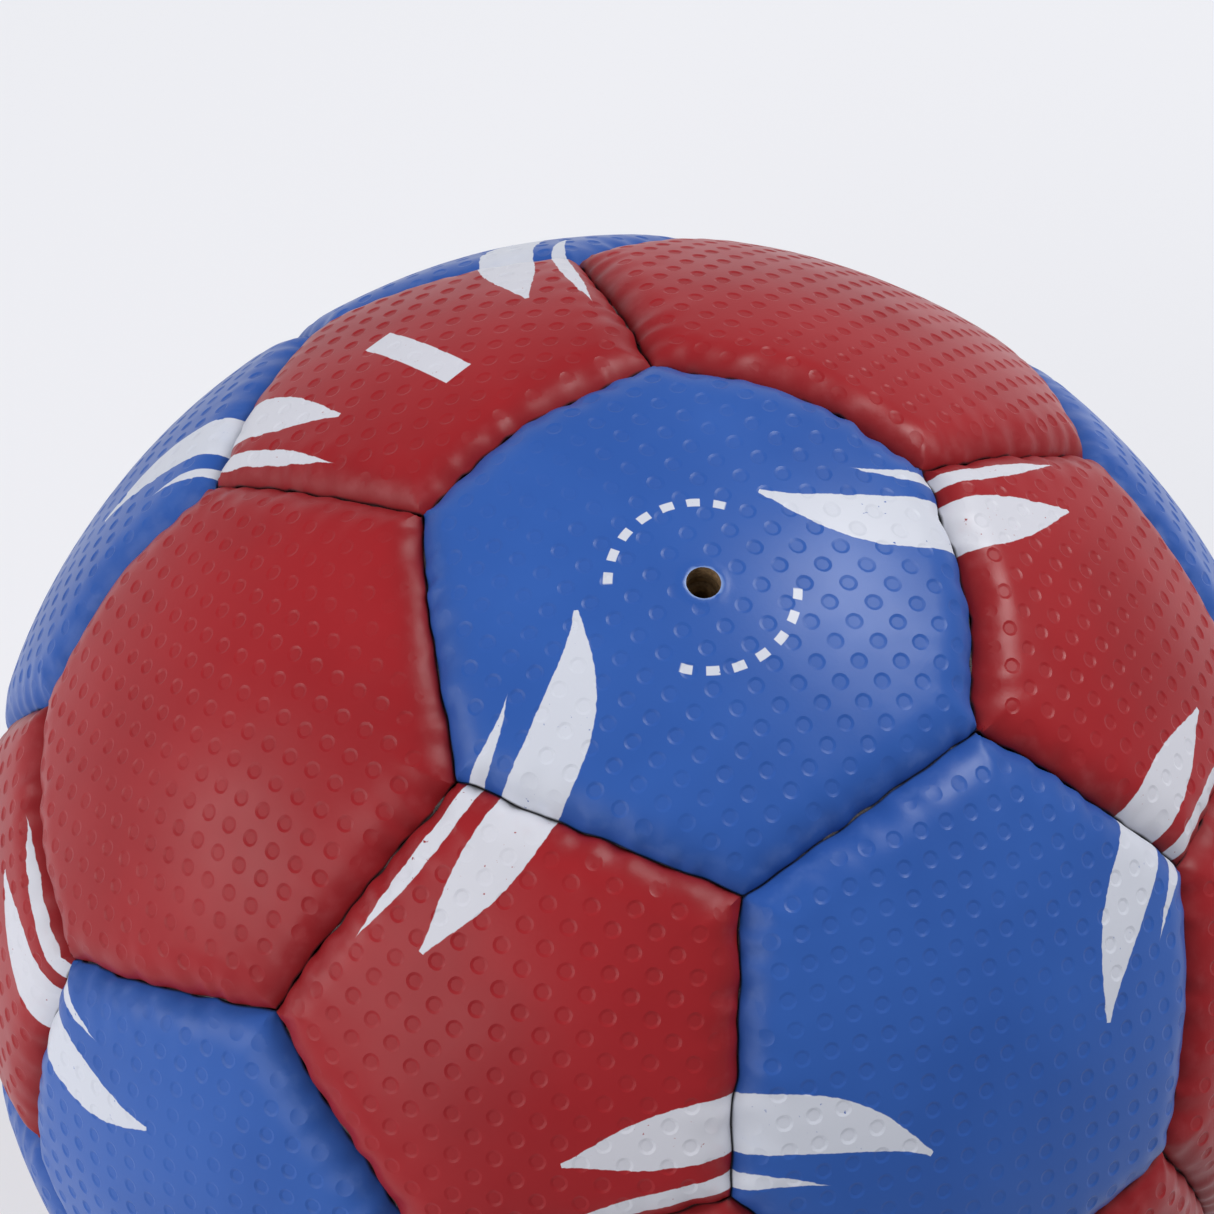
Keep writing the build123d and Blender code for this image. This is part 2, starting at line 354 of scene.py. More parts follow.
class Nodes:
    """Adds nodes to a tree and links them, so that a formula reads as a line of code."""

    def __init__(self, tree):
        self.tree = tree

    def feed(self, socket, value):
        if isinstance(value, bpy.types.NodeSocket):
            self.tree.links.new(value, socket)
        else:
            socket.default_value = value

    def add(self, kind, inputs=None, **settings):
        node = self.tree.nodes.new(kind)
        for name, value in settings.items():
            setattr(node, name, value)
        for name, value in (inputs or {}).items():
            self.feed(node.inputs[name], value)
        return node

    def math(self, operation, *values):
        node = self.add("ShaderNodeMath", operation=operation)
        for socket, value in zip(node.inputs, values):
            self.feed(socket, value)
        return node.outputs[0]

    def plus(self, first, *others):
        for value in others:
            first = self.math("ADD", first, value)
        return first

    def times(self, first, *others):
        for value in others:
            first = self.math("MULTIPLY", first, value)
        return first

    def minus(self, one, other):
        return self.math("SUBTRACT", one, other)

    def over(self, one, other):
        return self.math("DIVIDE", one, other)

    def at_least(self, value, low):
        return self.math("MAXIMUM", value, low)

    def root(self, value):
        return self.math("SQRT", self.at_least(value, 0.0))

    def vector(self, operation, *values):
        node = self.add("ShaderNodeVectorMath", operation=operation)
        sockets = [node.inputs[0], node.inputs[3]] if operation == "SCALE" else node.inputs
        for socket, value in zip(sockets, values):
            self.feed(socket, value)
        number = operation in ("DOT_PRODUCT", "LENGTH", "DISTANCE")
        return node.outputs["Value" if number else "Vector"]

    def dot(self, one, other):
        return self.vector("DOT_PRODUCT", one, other)

    def scaled(self, vector, factor):
        return self.vector("SCALE", vector, factor)

    def summed(self, first, *others):
        for vector in others:
            first = self.vector("ADD", first, vector)
        return first

    def split(self, vector):
        return self.add("ShaderNodeSeparateXYZ", {0: vector}).outputs[:3]

    def join(self, x, y, z):
        return self.add("ShaderNodeCombineXYZ", {0: x, 1: y, 2: z}).outputs[0]

    def smooth(self, value, low, high, start=0.0, end=1.0):
        """Goes smoothly from start to end as value goes from low to high."""
        node = self.add("ShaderNodeMapRange", interpolation_type="SMOOTHSTEP")
        for socket, number in zip(node.inputs, (value, low, high, start, end)):
            self.feed(socket, number)
        return node.outputs[0]

    def noise(self, vector, scale, detail=2.0, output=0):
        node = self.add("ShaderNodeTexNoise", {"Vector": vector, "Scale": scale, "Detail": detail})
        return node.outputs[output]

    def mixed(self, factor, one, other):
        """A colour between two others."""
        node = self.add("ShaderNodeMix", data_type="RGBA")
        for socket, value in zip((node.inputs[0], node.inputs[6], node.inputs[7]), (factor, one, other)):
            self.feed(socket, value)
        return node.outputs[2]


def new_tree(name, sockets):
    """An empty geometry tree with these inputs, given as name to (socket type, default)."""
    tree = bpy.data.node_groups.new(name, "GeometryNodeTree")
    tree.interface.new_socket("Geometry", in_out="INPUT", socket_type="NodeSocketGeometry")
    for label, (kind, default) in sockets.items():
        socket = tree.interface.new_socket(label, in_out="INPUT", socket_type=kind)
        if default is not None:
            socket.default_value = default
    tree.interface.new_socket("Geometry", in_out="OUTPUT", socket_type="NodeSocketGeometry")
    nodes = Nodes(tree)
    given = nodes.add("NodeGroupInput").outputs
    return nodes, {socket.name: socket for socket in given if socket.name}


def end_tree(nodes, geometry, material):
    """Closes a tree: real geometry, smooth shading and one material."""
    real = nodes.add("GeometryNodeRealizeInstances", {"Geometry": geometry}).outputs[0]
    smooth = nodes.add("GeometryNodeSetShadeSmooth", {"Geometry": real}).outputs[0]
    painted = nodes.add("GeometryNodeSetMaterial", {"Geometry": smooth, "Material": material}).outputs[0]
    nodes.feed(nodes.add("NodeGroupOutput").inputs[0], painted)
    return nodes.tree


def carrier_of(data):
    """An object that carries data only until its modifiers have run."""
    carrier = bpy.data.objects.new("carrier", data)
    bpy.context.scene.collection.objects.link(carrier)
    return carrier


def evaluated_mesh(carrier):
    """The result of a carrier's modifiers as a plain mesh; the carrier is deleted."""
    mesh = bpy.data.meshes.new_from_object(carrier.evaluated_get(bpy.context.evaluated_depsgraph_get()))
    bpy.data.objects.remove(carrier)
    if mesh.materials and mesh.materials[0] is None:
        mesh.materials.pop(index=0)
    return mesh


def grown(tree, data, values):
    """Runs a tree on an object's data and gives the result as a plain mesh."""
    carrier = carrier_of(data)
    modifier = carrier.modifiers.new("tree", "NODES")
    modifier.node_group = tree
    for item in tree.interface.items_tree:
        if item.item_type == "SOCKET" and item.in_out == "INPUT" and item.name in values:
            modifier[item.identifier] = values[item.name]
    return evaluated_mesh(carrier)


def outward(mesh):
    """Makes all faces of closed shells point outwards."""
    work = bmesh.new()
    work.from_mesh(mesh)
    bmesh.ops.recalc_face_normals(work, faces=work.faces)
    work.to_mesh(mesh)
    work.free()


def joined(meshes):
    """Several meshes of the same material as one."""
    work = bmesh.new()
    for mesh in meshes:
        work.from_mesh(mesh)
    whole = meshes[0].copy()
    work.to_mesh(whole)
    work.free()
    return whole


def drilled(mesh, radius, wall_finish):
    """A layer of the valve panel with a round hole along +Z, its wall in a finish of its own."""
    work = bmesh.new()
    place = Matrix.Translation((0, 0, CROWN_RADIUS))
    size = {"segments": DRILL_SIDES, "radius1": radius, "radius2": radius, "depth": DRILL_LENGTH}
    bmesh.ops.create_cone(work, cap_ends=True, matrix=place, **size)
    drill_mesh = bpy.data.meshes.new("drill")
    work.to_mesh(drill_mesh)
    work.free()
    drill_mesh.materials.append(wall_finish)
    drill = carrier_of(drill_mesh)
    carrier = carrier_of(mesh)
    cut = carrier.modifiers.new("hole", "BOOLEAN")
    cut.operation = "DIFFERENCE"
    cut.solver = "MANIFOLD"
    cut.material_mode = "TRANSFER"
    cut.object = drill
    result = evaluated_mesh(carrier)
    bpy.data.objects.remove(drill)
    return result


def column(items, name, kind, width=1):
    """One property of all items of a mesh as an array, in rows where it has more than one number."""
    values = np.empty(len(items) * width, kind)
    items.foreach_get(name, values)
    return values if width == 1 else values.reshape(-1, width)


def bow_seams(mesh):
    """Moves points sideways where full panels push their seams off the straight arc."""
    places = column(mesh.vertices, "co", np.float32, 3).astype(float)
    radius = np.linalg.norm(places, axis=1, keepdims=True)
    ways = places / radius
    moved = ways.copy()
    for full_axis, other_axis, bow in SEAM_BOWS:
        middle = unit(full_axis + other_axis)
        away = np.sum((ways - middle) ** 2, axis=1, keepdims=True)
        push = np.exp(-away * (CROWN_RADIUS / BOW_REACH) ** 2) * bow / CROWN_RADIUS
        moved += unit(other_axis - full_axis) * push
    moved *= radius / np.linalg.norm(moved, axis=1, keepdims=True)
    mesh.vertices.foreach_set("co", moved.astype(np.float32).ravel())
    mesh.update()


def shown(name, mesh, node):
    """A finished piece that rides on the ball in place of a CAD node."""
    bow_seams(mesh)
    mesh.name = name
    piece = bpy.data.objects.new(name, mesh)
    bpy.context.scene.collection.objects.link(piece)
    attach(piece, "ball")
    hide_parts(node)
    return piece


# Panels, by Geometry Nodes: one sheet of a square lattice, bent over the ball and pulled in to its seams

NUMBER = "NodeSocketFloat"
WHOLE = "NodeSocketInt"
ARROW = "NodeSocketVector"
FINISH = "NodeSocketMaterial"

# Inputs with no value here are given for each panel
PANEL_INPUTS = {
    "Sides": (WHOLE, None),
    "Seam Tilt": (NUMBER, None),
    "Corner Way": (ARROW, None),
    "Side Way": (ARROW, None),
    "Panel Axis": (ARROW, None),
    "Crown Radius": (NUMBER, CROWN_RADIUS),
    "Dome Centre": (NUMBER, None),
    "Dome Radius": (NUMBER, None),
    "Half Gap": (NUMBER, HALF_GAP),
    "Edge Roll": (NUMBER, EDGE_ROLL),
    "Edge Depth": (NUMBER, EDGE_DEPTH),
    "Floor Level": (NUMBER, LIP_LEVEL),
    "Skin Thickness": (NUMBER, SKIN_THICKNESS),
    "Lattice Cells": (WHOLE, None),
    "Cell Divisions": (WHOLE, CELL_DIVISIONS),
    "Lattice Turn": (NUMBER, 0.0),
    "Lattice Shift": (ARROW, None),
    "Dimple Pitch": (NUMBER, DIMPLE_PITCH),
    "Dimple Radius": (NUMBER, DIMPLE_RADIUS),
    "Dimple Depth": (NUMBER, DIMPLE_DEPTH),
    "Stitch Pitch": (NUMBER, STITCH_PITCH),
    "Pucker Depth": (NUMBER, PUCKER_DEPTH),
    "Ripple": (NUMBER, RIPPLE),
    "Unevenness": (NUMBER, UNEVENNESS),
    "Needle Hole Radius": (NUMBER, 0.0),
    "Material": (FINISH, None),
}


def nearest_side(nodes, direction, given):
    """The seam plane nearest to a direction: its inward normal, the way along it and that to its middle."""
    x, y, _ = nodes.split(direction)
    step = nodes.over(2 * math.pi, given["Sides"])
    turn = nodes.math("ARCTAN2", y, x)
    middle = nodes.times(nodes.plus(nodes.math("FLOOR", nodes.over(turn, step)), 0.5), step)
    cosine = nodes.math("COSINE", middle)
    sine = nodes.math("SINE", middle)
    flat = nodes.math("COSINE", given["Seam Tilt"])
    rise = nodes.math("SINE", given["Seam Tilt"])
    normal = nodes.join(nodes.times(cosine, flat, -1), nodes.times(sine, flat, -1), rise)
    along = nodes.join(nodes.times(sine, -1), cosine, 0)
    across = nodes.join(nodes.times(cosine, rise), nodes.times(sine, rise), flat)
    return normal, along, across


def pulled_in(nodes, direction, given):
    """Moves a direction that lies outside the nearest seam onto the edge of the panel."""
    normal, _, _ = nearest_side(nodes, direction, given)
    edge = nodes.over(given["Half Gap"], given["Crown Radius"])
    outside = nodes.math("MINIMUM", nodes.minus(nodes.dot(direction, normal), edge), 0)
    return nodes.vector("NORMALIZE", nodes.vector("SUBTRACT", direction, nodes.scaled(normal, outside)))


def dome_level(nodes, level, given):
    """Distance from the ball's middle to the crown's sphere, by the cosine of the angle off the axis."""
    centre = given["Dome Centre"]
    radius = given["Dome Radius"]
    bent = nodes.times(centre, centre, nodes.minus(1, nodes.times(level, level)))
    return nodes.plus(nodes.times(centre, level), nodes.root(nodes.minus(nodes.times(radius, radius), bent)))


def dimple_lattice(nodes, given):
    """A flat sheet whose square cells are drawn into rings: the mesh, the points' places and their hollow."""
    pitch = given["Dimple Pitch"]
    size = nodes.times(given["Lattice Cells"], pitch)
    count = nodes.plus(nodes.times(given["Lattice Cells"], given["Cell Divisions"]), 1)
    sheet = {"Size X": size, "Size Y": size, "Vertices X": count, "Vertices Y": count}
    mesh = nodes.add("GeometryNodeMeshGrid", sheet).outputs["Mesh"]
    x, y, _ = nodes.split(nodes.add("GeometryNodeInputPosition").outputs[0])
    cell_x = nodes.math("ROUND", nodes.over(x, pitch))
    cell_y = nodes.math("ROUND", nodes.over(y, pitch))
    u = nodes.minus(nodes.over(x, pitch), cell_x)
    v = nodes.minus(nodes.over(y, pitch), cell_y)
    reach = nodes.at_least(nodes.math("ABSOLUTE", u), nodes.math("ABSOLUTE", v))
    away = nodes.at_least(nodes.root(nodes.plus(nodes.times(u, u), nodes.times(v, v))), NEAR_MIDDLE)
    ring_step = (1 - FLOOR_SHARE) / (RIM_RING - FLOOR_RING)
    ring = nodes.plus(FLOOR_SHARE, nodes.times(nodes.minus(reach, FLOOR_RING), ring_step))
    ring_scale = nodes.over(nodes.times(ring, given["Dimple Radius"]), nodes.times(away, pitch))
    on_ring = nodes.math("LESS_THAN", reach, LAND_RING + RING_MARGIN)
    scale = nodes.plus(nodes.times(on_ring, ring_scale), nodes.minus(1, on_ring))
    place_x = nodes.times(nodes.plus(cell_x, nodes.times(u, scale)), pitch)
    place_y = nodes.times(nodes.plus(cell_y, nodes.times(v, scale)), pitch)
    shifted = nodes.summed(nodes.join(place_x, place_y, 0), given["Lattice Shift"])
    turn = {"Vector": shifted, "Angle": given["Lattice Turn"]}
    flat = nodes.add("ShaderNodeVectorRotate", turn, rotation_type="Z_AXIS").outputs[0]
    return mesh, flat, nodes.times(nodes.smooth(ring, FLOOR_SHARE, 1.0, 1.0, 0.0), on_ring)


def seam_puckers(nodes, given, direction, sample, near_seam, along, across):
    """How far the stitches draw the edge in, uneven in depth and pitch."""
    seam_turn = nodes.math("ARCTAN2", nodes.dot(direction, along), nodes.dot(direction, across))
    stitches = nodes.over(nodes.times(seam_turn, given["Crown Radius"]), given["Stitch Pitch"])
    drift = nodes.times(nodes.minus(nodes.noise(sample, DRIFT_SCALE, 1.0), 0.5), PUCKER_DRIFT)
    wave = nodes.math("COSINE", nodes.times(nodes.plus(stitches, drift), 2 * math.pi))
    irregular = nodes.smooth(nodes.noise(sample, PUCKER_SCALE), *PUCKER_BAND, *PUCKER_RANGE)
    return nodes.times(given["Pucker Depth"], wave, irregular, near_seam)


def trimmed(nodes, mesh):
    """A sheet without the faces wholly outside its seams, and with points pulled to one place joined."""
    flag = nodes.add("GeometryNodeInputNamedAttribute", {"Name": "outside"}, data_type="FLOAT").outputs[0]
    # On a face the flag is the mean of its corners' flags
    cut = {"Geometry": mesh, "Selection": nodes.math("GREATER_THAN", flag, WHOLLY_OUTSIDE)}
    mesh = nodes.add("GeometryNodeDeleteGeometry", cut, domain="FACE").outputs[0]
    mesh = nodes.add("GeometryNodeRemoveAttribute", {"Geometry": mesh, "Name": "outside"}).outputs[0]
    merge = {"Geometry": mesh, "Distance": MERGE_DISTANCE}
    return nodes.add("GeometryNodeMergeByDistance", merge).outputs[0]


def panel_sheet(nodes, given):
    """The outer face of a panel, from its crown to the creases of its seams."""
    mesh, flat, hollow = dimple_lattice(nodes, given)
    radius = given["Crown Radius"]
    arm = nodes.at_least(nodes.vector("LENGTH", flat), NEAR_AXIS)
    angle = nodes.over(arm, radius)
    sideways = nodes.scaled(flat, nodes.over(nodes.math("SINE", angle), arm))
    loose = nodes.summed(sideways, nodes.join(0, 0, nodes.math("COSINE", angle)))
    loose_normal, _, _ = nearest_side(nodes, loose, given)
    loose_distance = nodes.times(nodes.dot(loose, loose_normal), radius)
    outside = nodes.math("LESS_THAN", loose_distance, given["Half Gap"])
    direction = loose
    for _ in range(EDGE_PULLS):
        direction = pulled_in(nodes, direction, given)
    normal, along, across = nearest_side(nodes, direction, given)
    distance = nodes.times(nodes.dot(direction, normal), radius)
    x, y, level = nodes.split(direction)
    frame_ways = (given["Corner Way"], given["Side Way"], given["Panel Axis"])
    on_ball = nodes.summed(*[nodes.scaled(way, share) for way, share in zip(frame_ways, (x, y, level))])
    sample = nodes.scaled(on_ball, radius)

    # Rolled edge
    closeness = nodes.at_least(nodes.minus(1, nodes.over(distance, given["Edge Roll"])), 0)
    towards_seam = nodes.times(closeness, CREASE_SHARE)
    arc = nodes.minus(1, nodes.root(nodes.minus(1, nodes.times(towards_seam, towards_seam))))
    drop = nodes.times(given["Edge Depth"], nodes.over(arc, 1 - math.sqrt(1 - CREASE_SHARE**2)))

    # Puckers at the stitches and ripples of the edge
    near_seam = nodes.math("EXPONENT", nodes.over(distance, -PUCKER_REACH))
    pucker = seam_puckers(nodes, given, direction, sample, near_seam, along, across)
    wander = nodes.vector("SUBTRACT", nodes.noise(sample, RIPPLE_SCALE, 1.0, 1), (0.5, 0.5, 0.5))
    ripple = nodes.scaled(wander, nodes.times(given["Ripple"], near_seam))

    # Unevenness of the padding
    swell = nodes.times(nodes.minus(nodes.noise(sample, SWELL_SCALE, 1.0), 0.5), given["Unevenness"])
    swell = nodes.times(swell, nodes.smooth(distance, *SWELL_FADE))

    # Dimples, shallow in places and fading towards the seams and the needle hole
    hole = given["Needle Hole Radius"]
    has_hole = nodes.math("GREATER_THAN", hole, 0)
    from_axis = nodes.times(nodes.root(nodes.minus(1, nodes.times(level, level))), radius)
    from_hole = nodes.minus(from_axis, hole)
    clear = nodes.smooth(from_hole, *HOLE_LAND)
    keep = nodes.plus(nodes.minus(1, has_hole), nodes.times(has_hole, clear))
    worn = nodes.smooth(nodes.noise(sample, DIMPLE_SCALE), *DIMPLE_BAND, *DIMPLE_RANGE)
    dimple = nodes.times(hollow, nodes.smooth(distance, *DIMPLE_FADE), keep, worn)

    # Raised lip round the needle hole
    past_lip = nodes.over(nodes.minus(from_hole, HOLE_LIP_PLACE), HOLE_LIP_WIDTH)
    bulge = nodes.math("EXPONENT", nodes.times(past_lip, past_lip, -1))
    lip = nodes.times(HOLE_LIP_RISE, has_hole, bulge)

    sunk = nodes.plus(drop, pucker, nodes.times(dimple, given["Dimple Depth"]))
    height = nodes.plus(nodes.minus(dome_level(nodes, level, given), sunk), swell, lip)
    for name, value in (("outside", outside), ("seam_distance", distance), ("dimple", dimple)):
        store = {"Geometry": mesh, "Name": name, "Value": value}
        kept = nodes.add("GeometryNodeStoreNamedAttribute", store, data_type="FLOAT", domain="POINT")
        mesh = kept.outputs[0]
    place = nodes.summed(nodes.scaled(on_ball, height), ripple)
    mesh = nodes.add("GeometryNodeSetPosition", {"Geometry": mesh, "Position": place}).outputs[0]
    return trimmed(nodes, mesh)


def boundary_ring(nodes, mesh, place):
    """Adds a strip of faces along a mesh's open edge, out to a place: the mesh, and its new edge."""
    faces = nodes.add("GeometryNodeInputMeshEdgeNeighbors").outputs[0]
    open_edge = nodes.math("LESS_THAN", faces, 2)
    inputs = {"Mesh": mesh, "Selection": open_edge, "Offset Scale": 0.0}
    strip = nodes.add("GeometryNodeExtrudeMesh", inputs, mode="EDGES").outputs
    moved = {"Geometry": strip["Mesh"], "Selection": strip["Top"], "Position": place}
    return nodes.add("GeometryNodeSetPosition", moved).outputs[0], strip["Top"]


def closed_at(nodes, mesh, tip):
    """Joins the points of an edge that has been drawn in to one place."""
    merge = {"Geometry": mesh, "Selection": tip, "Distance": MERGE_DISTANCE}
    return nodes.add("GeometryNodeMergeByDistance", merge).outputs[0]


def drawn_in(nodes, given, share):
    """The direction of a point with its angle off the panel's axis taken down to a share, and its cosine."""
    here = nodes.vector("NORMALIZE", nodes.add("GeometryNodeInputPosition").outputs[0])
    axis = given["Panel Axis"]
    level = nodes.math("MINIMUM", nodes.dot(here, axis), 1.0)
    sideways = nodes.vector("NORMALIZE", nodes.vector("SUBTRACT", here, nodes.scaled(axis, level)))
    angle = nodes.times(nodes.math("ARCCOSINE", level), share)
    cosine = nodes.math("COSINE", angle)
    return nodes.summed(nodes.scaled(axis, cosine), nodes.scaled(sideways, nodes.math("SINE", angle))), cosine


def cover_tree():
    """A cover panel: its outer face, the turned-in edges with room for the thread, and the inner face."""
    nodes, given = new_tree("cover_panel", PANEL_INPUTS)
    mesh = panel_sheet(nodes, given)
    reach = nodes.times(given["Crown Radius"], given["Seam Tilt"])
    room, _ = drawn_in(nodes, given, nodes.minus(1, nodes.over(THREAD_ROOM, reach)))
    mesh, _ = boundary_ring(nodes, mesh, nodes.scaled(room, THREAD_LEVEL))
    straight, _ = drawn_in(nodes, given, 1.0)
    mesh, _ = boundary_ring(nodes, mesh, nodes.scaled(straight, given["Floor Level"]))
    wall, _ = drawn_in(nodes, given, nodes.minus(1, nodes.over(given["Skin Thickness"], reach)))
    mesh, _ = boundary_ring(nodes, mesh, nodes.scaled(wall, given["Floor Level"]))
    straight, _ = drawn_in(nodes, given, 1.0)
    mesh, _ = boundary_ring(nodes, mesh, nodes.scaled(straight, nodes.plus(given["Floor Level"], LIP_HEIGHT)))
    for share in COVER_RINGS:
        inward, cosine = drawn_in(nodes, given, share)
        under = nodes.minus(dome_level(nodes, cosine, given), given["Skin Thickness"])
        mesh, tip = boundary_ring(nodes, mesh, nodes.scaled(inward, under))
    return end_tree(nodes, closed_at(nodes, mesh, tip), given["Material"])


def padding_tree():
    """A layer behind a cover panel: a crowned sheet with rolled edges on a ball-shaped floor."""
    nodes, given = new_tree("padding_layer", PANEL_INPUTS)
    mesh = panel_sheet(nodes, given)
    for share in PADDING_RINGS:
        inward, _ = drawn_in(nodes, given, share)
        mesh, tip = boundary_ring(nodes, mesh, nodes.scaled(inward, given["Floor Level"]))
    return end_tree(nodes, closed_at(nodes, mesh, tip), given["Material"])


def panel_values(axis, sides, top):
    """Inputs that place a panel on the ball and give it its crown."""
    centre, radius = dome(sides, top)
    corner, side, axis = panel_frame(axis, sides)
    return {
        "Sides": sides,
        "Seam Tilt": side_tilt(sides),
        "Corner Way": tuple(corner),
        "Side Way": tuple(side),
        "Panel Axis": tuple(axis),
        "Dome Centre": centre,
        "Dome Radius": radius,
        "Lattice Cells": LATTICE_CELLS[sides],
    }


def crisp_dimples(mesh):
    """Marks the edges that border the walls of the dimples as sharp, so that floors and land stay flat."""
    depth = column(mesh.attributes["dimple"].data, "value", np.float32)
    corner_depth = depth[column(mesh.loops, "vertex_index", np.int32)]
    starts = column(mesh.polygons, "loop_start", np.int32)
    rise = np.maximum.reduceat(corner_depth, starts) - np.minimum.reduceat(corner_depth, starts)
    is_wall = np.repeat(rise > WALL_RISE, column(mesh.polygons, "loop_total", np.int32))
    edges = column(mesh.loops, "edge_index", np.int32)
    walls = np.bincount(edges, weights=is_wall, minlength=len(mesh.edges))
    sharp = mesh.attributes["sharp_edge"].data
    sharp.foreach_set("value", column(sharp, "value", bool) | (walls == 1))


def make_cover(tree, node, axis, sides, slot, seed, hole_radius=0.0):
    """One cover panel in place of its CAD node."""
    random = np.random.default_rng(seed)
    values = panel_values(axis, sides, CROWN_RADIUS)
    side_turn = 2 * math.pi / sides
    first_turn = side_turn / 2 if sides == HEXAGON_SIDES else 0.0
    values["Lattice Turn"] = GRAIN_TURN + first_turn + side_turn * random.integers(sides)
    values["Lattice Shift"] = (*random.uniform(-DIMPLE_PITCH / 2, DIMPLE_PITCH / 2, 2), 0.0)
    values["Needle Hole Radius"] = hole_radius
    values["Material"] = cover_finishes[slot]
    mesh = grown(tree, bpy.data.meshes.new("seed"), values)
    outward(mesh)
    if hole_radius:
        mesh = drilled(mesh, hole_radius, backing)
    mesh.set_sharp_from_angle(angle=SHARP_ANGLE)
    crisp_dimples(mesh)
    panel = shown(f"{node}_cover", mesh, node)


def make_padding(tree, node, axes, sides, top, floor_level, edge_roll, slot, hole_radius=0.0):
    """The foam pads or lining sheets of one CAD node, as one mesh."""
    meshes = []
    for axis in axes:
        values = panel_values(axis, sides, top)
        values["Half Gap"] = PAD_INSET
        values["Edge Roll"] = edge_roll
        values["Edge Depth"] = edge_roll
        values["Floor Level"] = floor_level
        values["Cell Divisions"] = 1
        for off in ("Dimple Depth", "Pucker Depth", "Ripple", "Unevenness"):
            values[off] = 0.0
        values["Material"] = inner_finishes[slot]
        mesh = grown(tree, bpy.data.meshes.new("seed"), values)
        outward(mesh)
        if hole_radius:
            mesh = drilled(mesh, hole_radius, inner_finishes[slot])
        meshes.append(mesh)
    layer_mesh = joined(meshes)
    layer_mesh.set_sharp_from_angle(angle=SHARP_ANGLE)
    layer = shown(f"{node}_layer", layer_mesh, node)


# Sewing thread, by Geometry Nodes along the seams


def tube_along(nodes, line, sides, radius):
    """A round closed tube along a curve."""
    circle = {"Resolution": sides, "Radius": radius}
    profile = nodes.add("GeometryNodeCurvePrimitiveCircle", circle).outputs[0]
    tube = {"Curve": line, "Profile Curve": profile, "Fill Caps": True}
    return nodes.add("GeometryNodeCurveToMesh", tube).outputs[0]


def feed_numbers(nodes, node, *values):
    """Sets the number inputs of a node that has several sockets of the same name."""
    sockets = [socket for socket in node.inputs if socket.type == "VALUE"]
    for socket, value in zip(sockets, values):
        nodes.feed(socket, value)


def thread_tree():
    """The thread of the seams: a cord in each groove, and the stitches that draw the panels together."""
    inputs = {
        "Thread Radius": (NUMBER, THREAD_RADIUS),
        "Stitch Count": (WHOLE, STITCH_COUNT),
        "Stitched Share": (NUMBER, None),
        "Stitch Half Width": (NUMBER, STITCH_HALF_WIDTH),
        "Stitch Rise": (NUMBER, STITCH_RISE),
        "Stitch Radius": (NUMBER, STITCH_RADIUS),
        "Seed": (WHOLE, STITCH_SEED),
        "Material": (FINISH, None),
    }
    nodes, given = new_tree("seam_thread", inputs)
    cord = tube_along(nodes, given["Geometry"], THREAD_SIDES, given["Thread Radius"])

    # Places of the stitches, along the middle of each seam
    half = nodes.times(given["Stitched Share"], 0.5)
    middle = nodes.add("GeometryNodeTrimCurve", {"Curve": given["Geometry"]}, mode="FACTOR")
    feed_numbers(nodes, middle, nodes.minus(0.5, half), nodes.plus(0.5, half))
    spacing = {"Curve": middle.outputs[0], "Count": given["Stitch Count"]}
    spaced = nodes.add("GeometryNodeResampleCurve", spacing).outputs[0]

    # They stand square to the ball and lie across the seam, each a little slanted
    upward = nodes.vector("NORMALIZE", nodes.add("GeometryNodeInputPosition").outputs[0])
    sideways = nodes.vector("CROSS_PRODUCT", nodes.add("GeometryNodeInputTangent").outputs[0], upward)
    stand = {"Primary Axis": upward, "Secondary Axis": sideways}
    turned = nodes.add("FunctionNodeAxesToRotation", stand, primary_axis="Z", secondary_axis="X").outputs[0]
    slant = nodes.add("FunctionNodeRandomValue", {"Seed": given["Seed"]}, data_type="FLOAT")
    feed_numbers(nodes, slant, -STITCH_SLANT, STITCH_SLANT)
    twist = nodes.add("FunctionNodeEulerToRotation", {0: nodes.join(0, 0, slant.outputs[1])}).outputs[0]
    turned = nodes.add("FunctionNodeRotateRotation", {0: turned, 1: twist}, rotation_space="LOCAL").outputs[0]

    # One stitch is a low loop
    loop = {
        "Resolution": STITCH_STEPS,
        "Start": nodes.join(nodes.times(given["Stitch Half Width"], -1), 0, 0),
        "Middle": nodes.join(0, 0, nodes.times(given["Stitch Rise"], 2)),
        "End": nodes.join(given["Stitch Half Width"], 0, 0),
    }
    loop_line = nodes.add("GeometryNodeCurveQuadraticBezier", loop).outputs[0]
    stitch = tube_along(nodes, loop_line, STITCH_SIDES, given["Stitch Radius"])
    points = {"Points": spaced, "Instance": stitch, "Rotation": turned}
    sewn = nodes.add("GeometryNodeInstanceOnPoints", points).outputs[0]
    both = nodes.add("GeometryNodeJoinGeometry")
    nodes.feed(both.inputs[0], cord)
    nodes.feed(both.inputs[0], sewn)
    return end_tree(nodes, both.outputs[0], given["Material"])


def make_thread():
    """All seam threads as one piece."""
    half_angle = math.asin(NET_EDGE / 2) - SEAM_END_MARGIN / THREAD_LEVEL
    steps = np.linspace(-half_angle, half_angle, THREAD_POINTS)
    lines = bpy.data.curves.new("seam_lines", "CURVE")
    lines.dimensions = "3D"
    for middle, along in seam_arcs():
        spline = lines.splines.new("POLY")
        spline.points.add(len(steps) - 1)
        for point, angle in zip(spline.points, steps):
            place = (middle * math.cos(angle) + along * math.sin(angle)) * THREAD_LEVEL
            point.co = (*place, 1.0)
    stitched = (STITCH_COUNT - 1) * STITCH_PITCH / (2 * half_angle * CROWN_RADIUS)
    values = {"Stitched Share": stitched, "Material": inner_finishes["thread"]}
    mesh = grown(thread_tree(), lines, values)
    shown("seam_thread_stitches", mesh, "seam_thread")


# Materials


